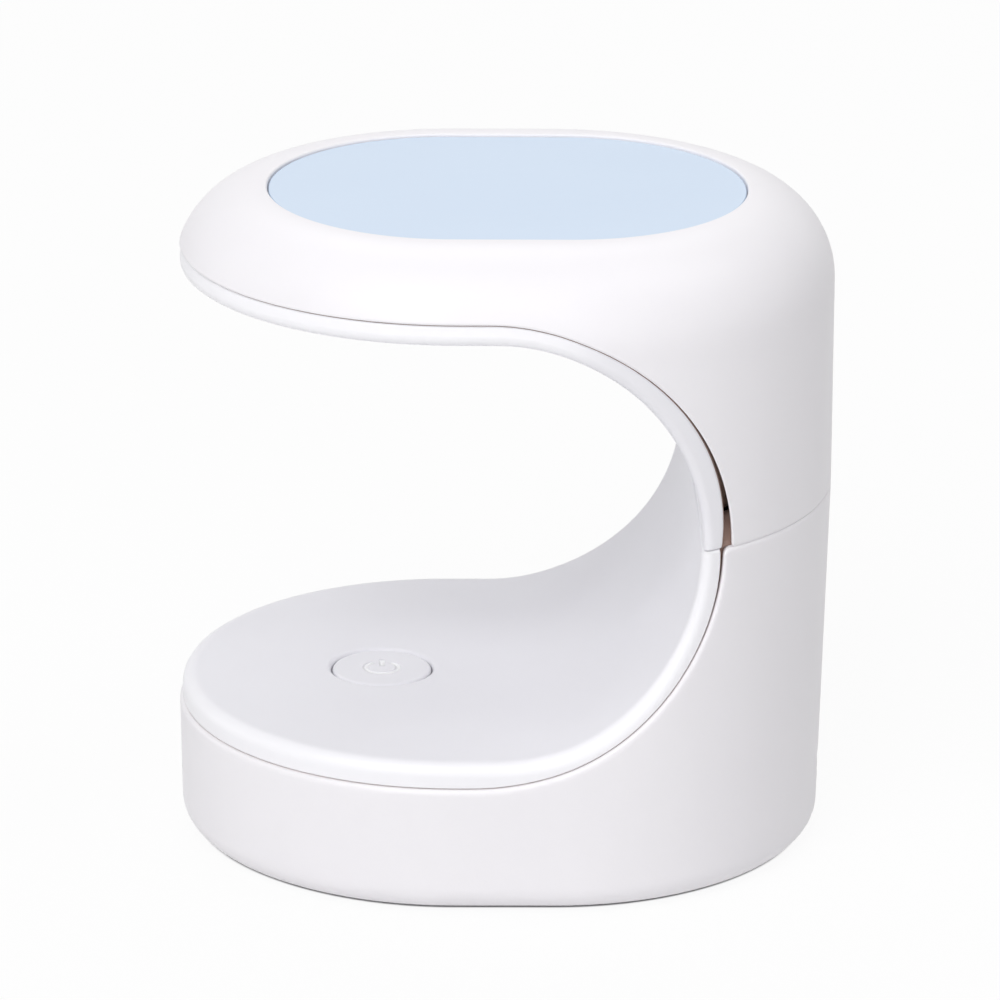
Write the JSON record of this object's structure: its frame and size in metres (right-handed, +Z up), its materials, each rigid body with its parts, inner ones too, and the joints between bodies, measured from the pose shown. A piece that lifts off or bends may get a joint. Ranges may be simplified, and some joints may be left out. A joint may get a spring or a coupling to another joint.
{
  "type": "mini nail lamp",
  "caption": "C-shaped table lamp for curing nail gel: an oblong base with a push button in its finger pad, a column at one end and a round-edged lamp head above.",
  "frame": {"origin": "centre of the footprint on the surface that the lamp stands on", "axes": "+Z up, +X from the open tip of the base towards the column, +Y to the back, the side the picture does not show"},
  "size_m": [0.0794, 0.067, 0.0811],
  "materials": {
    "shell_plastic": "fine satin texture, white",
    "liner_plastic": "satin, white",
    "panel_plastic": "smooth satin, pale blue",
    "film": "matt double sided film",
    "clear_plastic": "polished, clear",
    "lamp_board_white": "white solder mask on aluminium",
    "bead_ceramic": "matt",
    "dome_silicone": "clear, faintly violet",
    "screw_steel": "plain steel",
    "switch_black": "matt black",
    "plunger_plastic": "ivory",
    "board_green": "green solder mask",
    "chip_black": "matt black",
    "contact_gold": "plated",
    "ferrite_grey": "matt",
    "can_aluminium": "plain",
    "connector_white": "plain",
    "wire_red": "smooth",
    "wire_black": "smooth",
    "solder": "bright",
    "foot_rubber": "matt light grey"
  },
  "bodies": {
    "lamp_body": {"upper_shell": "shell_plastic", "lower_shell": "shell_plastic", "upper_liner": "liner_plastic", "lower_liner": "liner_plastic", "top_panel": "panel_plastic", "panel_film": "film", "lamp_window": "clear_plastic", "lamp_board": "lamp_board_white", "lamp_beads": "bead_ceramic", "lamp_domes": "dome_silicone", "lamp_board_screws": "screw_steel", "head_screws": "screw_steel", "column_screws": "screw_steel", "pad_screws": "screw_steel", "switch_housing": "switch_black", "switch_cover": "screw_steel", "switch_dome": "screw_steel", "control_board": "board_green", "board_screws": "screw_steel", "socket_shell": "screw_steel", "socket_tongue": "chip_black", "socket_contacts": "contact_gold", "controller_chip": "chip_black", "power_transistor": "chip_black", "power_inductor": "ferrite_grey", "filter_capacitors": "can_aluminium", "chip_resistors": "chip_black", "wire_header": "connector_white", "wire_plug": "connector_white", "red_wire": "wire_red", "black_wire": "wire_black", "wire_joints": "solder", "rubber_feet": "foot_rubber"},
    "button": {"button_cap": "liner_plastic"},
    "plunger": {"switch_plunger": "plunger_plastic"}
  },
  "joints": [
    {"name": "button_press", "type": "slide", "parent": "lamp_body", "child": "button", "axis": [0, 0, -1], "range_m": [0, 0.0004], "stiffness_N_per_m": 3000, "springref_m": -0.0001},
    {"name": "plunger_press", "type": "slide", "parent": "lamp_body", "child": "plunger", "axis": [0, 0, -1], "range_m": [0, 0.0004], "deforming": ["switch_dome"]}
  ],
  "couplings": [
    {"joint": "plunger_press", "follows": "button_press", "ratio": 1}
  ]
}
